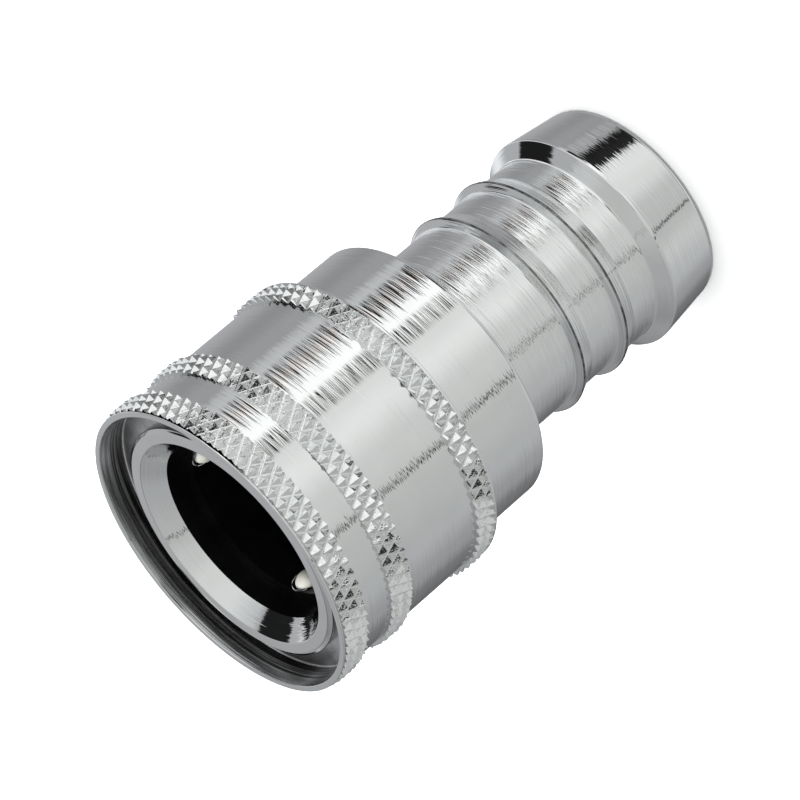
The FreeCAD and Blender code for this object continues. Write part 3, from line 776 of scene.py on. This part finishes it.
# Stage: floor, light and camera.
class Studio:
    """Studio surroundings by direction, as the chrome shows them.

    Bearing is in degrees clockwise from the azimuth of ZERO_AZIMUTH, seen from above, and
    elevation is in degrees above the horizon.
    """

    ZERO_AZIMUTH = -25.7

    def __init__(self):
        world = bpy.data.worlds.new("studio")
        bpy.context.scene.world = world
        world.use_nodes = True
        self.tree = world.node_tree
        self.background = self.tree.nodes["Background"]
        parts = self.tree.nodes.new("ShaderNodeSeparateXYZ")
        direction = self.tree.nodes.new("ShaderNodeTexCoord").outputs["Generated"]
        self.tree.links.new(direction, parts.inputs[0])
        azimuth = self.math("ARCTAN2", parts.outputs[1], parts.outputs[0])
        bearing = self.math("MULTIPLY_ADD", azimuth, -180 / math.pi, self.ZERO_AZIMUTH + 720)
        self.bearing = self.math("MODULO", bearing, 360.0)
        sine = self.math("ARCSINE", parts.outputs[2])
        self.elevation = self.math("MULTIPLY", sine, 180 / math.pi)

    def math(self, operation, *values):
        """Result of a math node over sockets and numbers."""
        node = self.tree.nodes.new("ShaderNodeMath")
        node.operation = operation
        for place, value in enumerate(values):
            if isinstance(value, bpy.types.NodeSocket):
                self.tree.links.new(value, node.inputs[place])
            else:
                node.inputs[place].default_value = value
        return node.outputs[0]

    def step(self, value, low, high):
        """0 below low and 1 above high, with a smooth rise between."""
        node = self.tree.nodes.new("ShaderNodeMapRange")
        node.interpolation_type = "SMOOTHSTEP"
        self.tree.links.new(value, node.inputs["Value"])
        node.inputs["From Min"].default_value = low
        node.inputs["From Max"].default_value = high
        return node.outputs["Result"]

    def cards(self, stops):
        """Light round the horizon: (bearing, brightness) stops from 0 to 360 degrees."""
        node = self.tree.nodes.new("ShaderNodeValToRGB")
        node.color_ramp.interpolation = "EASE"
        self.tree.links.new(self.math("DIVIDE", self.bearing, 360.0), node.inputs[0])
        elements = node.color_ramp.elements
        while len(elements) < len(stops):
            elements.new(0.5)
        for element, (bearing, value) in zip(elements, stops):
            element.position = bearing / 360
            element.color = (value, value, value, 1)
        return node.outputs[0]

    def mix(self, first, second, share):
        """First where the share is 0 and second where it is 1."""
        return self.math("MULTIPLY_ADD", self.math("SUBTRACT", second, first), share, first)

    def away(self, bearing):
        """Signed angle from a bearing."""
        turned = self.math("MODULO", self.math("ADD", self.bearing, 540.0 - bearing), 360.0)
        return self.math("SUBTRACT", turned, 180.0)

    def outside(self, bearing, elevation, width, height, soft, lean=0.0, power=4.0):
        """0 inside a patch with rounded corners, 1 outside it."""
        up = self.math("SUBTRACT", self.elevation, elevation)
        across = self.math("MULTIPLY_ADD", up, -lean, self.away(bearing))
        across = self.math("POWER", self.math("ABSOLUTE", self.math("DIVIDE", across, width)), power)
        up = self.math("POWER", self.math("ABSOLUTE", self.math("DIVIDE", up, height)), power)
        reach = self.math("POWER", self.math("ADD", across, up), 1 / power)
        return self.step(reach, 1 - soft, 1 + soft)


def studio():
    """Pale cards round the connector, with the dark gaps and bodies between them.

    The four rings of cards are deep below the horizon, low, about level and high.
    """
    room = Studio()
    low = room.cards(
        [
            (0, 0.52),
            (5, 0.6),
            (10, 0.64),
            (34, 1.22),
            (46, 1.3),
            (66, 0.88),
            (84, 0.98),
            (110, 0.74),
            (148, 0.6),
            (184, 0.53),
            (212, 0.38),
            (235, 0.2),
            (254, 0.14),
            (272, 0.46),
            (300, 0.43),
            (330, 0.33),
            (350, 0.4),
        ]
    )
    high = room.cards(
        [
            (0, 0.65),
            (35, 0.85),
            (75, 0.8),
            (110, 0.68),
            (150, 0.55),
            (195, 0.46),
            (225, 0.33),
            (247, 0.2),
            (270, 0.38),
            (300, 0.42),
            (335, 0.5),
        ]
    )
    level = room.cards(
        [
            (0, 0.8),
            (14, 0.93),
            (30, 1.12),
            (62, 1.2),
            (104, 0.72),
            (128, 0.7),
            (150, 0.56),
            (186, 0.43),
            (230, 0.38),
            (274, 0.2),
            (294, 1.0),
            (310, 1.2),
            (340, 1.02),
        ]
    )
    deep = room.cards(
        [
            (0, 0.34),
            (16, 0.3),
            (46, 0.85),
            (60, 0.94),
            (78, 0.86),
            (104, 0.62),
            (130, 0.58),
            (160, 0.72),
            (190, 0.62),
            (220, 0.4),
            (240, 0.52),
            (300, 0.47),
            (335, 0.36),
        ]
    )
    light = room.mix(deep, low, room.step(room.elevation, -46, -35))
    light = room.mix(light, level, room.step(room.elevation, -16, -5))
    light = room.mix(light, high, room.step(room.elevation, 14, 26))
    grey_card = room.outside(302, 26, 34, 20, 0.25)
    light = room.mix(0.5, light, grey_card)
    light = room.mix(light, 0.6, room.step(room.elevation, 58, 72))
    table_edge = room.outside(30, -42, 12, 16, 0.07, -0.62, 6)
    window_frame = room.outside(-25, 29, 21, 15, 0.08, 0.0, 2.5)
    dark = room.math("MULTIPLY", table_edge, window_frame)
    camera_body = room.outside(88, 15, 12.8, 13, 0.3)
    dark = room.math("MULTIPLY", dark, camera_body)
    stand = room.outside(60, -72, 62, 18, 0.25)
    dark = room.math("MULTIPLY", dark, room.math("MULTIPLY_ADD", stand, 0.4, 0.6))
    strap = room.outside(57, -22.7, 8, 3.6, 0.3)
    dark = room.math("MULTIPLY", dark, strap)
    card_gap = room.outside(133.4, -15, 1.15, 80, 0.35, 0.14, 6)
    dark = room.math("MULTIPLY", dark, room.math("MULTIPLY_ADD", card_gap, 0.96, 0.04))
    dark = room.math("MULTIPLY_ADD", dark, 0.97, 0.03)
    light = room.math("MULTIPLY", light, dark)
    strength = room.mix(0.85, light, room.step(room.elevation, -74, -66))
    room.tree.links.new(strength, room.background.inputs["Strength"])
    aside = room.step(room.math("ABSOLUTE", room.away(100)), 45, 110)
    warm = room.outside(25, -26, 5, 14, 0.7, 0.0, 2.0)
    blue = room.math("MULTIPLY_ADD", aside, 0.05, 0.885)
    tint = room.tree.nodes.new("ShaderNodeCombineColor")
    tint.inputs[0].default_value = 0.985
    room.tree.links.new(room.math("MULTIPLY_ADD", warm, 0.07, 0.93), tint.inputs[1])
    room.tree.links.new(room.math("MULTIPLY_ADD", warm, 0.1, blue), tint.inputs[2])
    room.tree.links.new(tint.outputs[0], room.background.inputs["Color"])


studio()

FLOOR_HALF = 3000
FLOOR_Z = -0.1
UNDER_TAIL_RADIUS = 8.8
UNDER_TAIL_Z = -0.05
pale = Material("pale_floor", 0.0, 0.9)
pale.colours(pale.noise((8, 8, 8)), [(0.3, (0.9,)), (0.7, (0.88,))])


def floor_piece(name, corners, height):
    """Flat stage piece at a height."""
    mesh = bpy.data.meshes.new(name)
    mesh.from_pydata([(x * MM, y * MM, 0) for x, y in corners], [], [tuple(range(len(corners)))])
    mesh.materials.append(pale.data)
    piece = bpy.data.objects.new(name, mesh)
    bpy.context.scene.collection.objects.link(piece)
    piece.location.z = height * MM
    return piece


square = [
    (-FLOOR_HALF, -FLOOR_HALF),
    (FLOOR_HALF, -FLOOR_HALF),
    (FLOOR_HALF, FLOOR_HALF),
    (-FLOOR_HALF, FLOOR_HALF),
]
floor = floor_piece("floor", square, FLOOR_Z)
floor.visible_glossy = False
circle = []
for degrees in range(0, 360, 6):
    corner = on_band(math.radians(degrees), 0, UNDER_TAIL_RADIUS)
    circle.append((corner.x, corner.y))
under_tail = floor_piece("floor_under_tail", circle, UNDER_TAIL_Z)

light_data = bpy.data.lights.new("overhead", "AREA")
light_data.shape = "DISK"
light_data.size = 1.2
light_data.energy = 30
overhead = bpy.data.objects.new("overhead", light_data)
overhead.location = (0.1, 0.1, 1.2)
overhead.visible_glossy = False
bpy.context.scene.collection.objects.link(overhead)

# Camera, solved from the ellipses of the photograph.
CAMERA_PLACE = Vector((-141.722, -294.21, 189.709))
CAMERA_RIGHT = Vector((-0.7314, -0.02302, -0.68156))
CAMERA_BACK = Vector((-0.38853, -0.8073, 0.4442))
camera_data = bpy.data.cameras.new("camera")
camera_data.lens = 202.5
camera_data.sensor_width = 36
camera_data.clip_start = 0.01
camera = bpy.data.objects.new("camera", camera_data)
bpy.context.scene.collection.objects.link(camera)
back = CAMERA_BACK.normalized()
up = back.cross(CAMERA_RIGHT.normalized()).normalized()
camera_turn = Matrix((up.cross(back), up, back)).transposed().to_4x4()
camera.matrix_world = Matrix.Translation(CAMERA_PLACE * MM) @ camera_turn
bpy.context.scene.camera = camera
bpy.context.scene.view_settings.view_transform = "Standard"
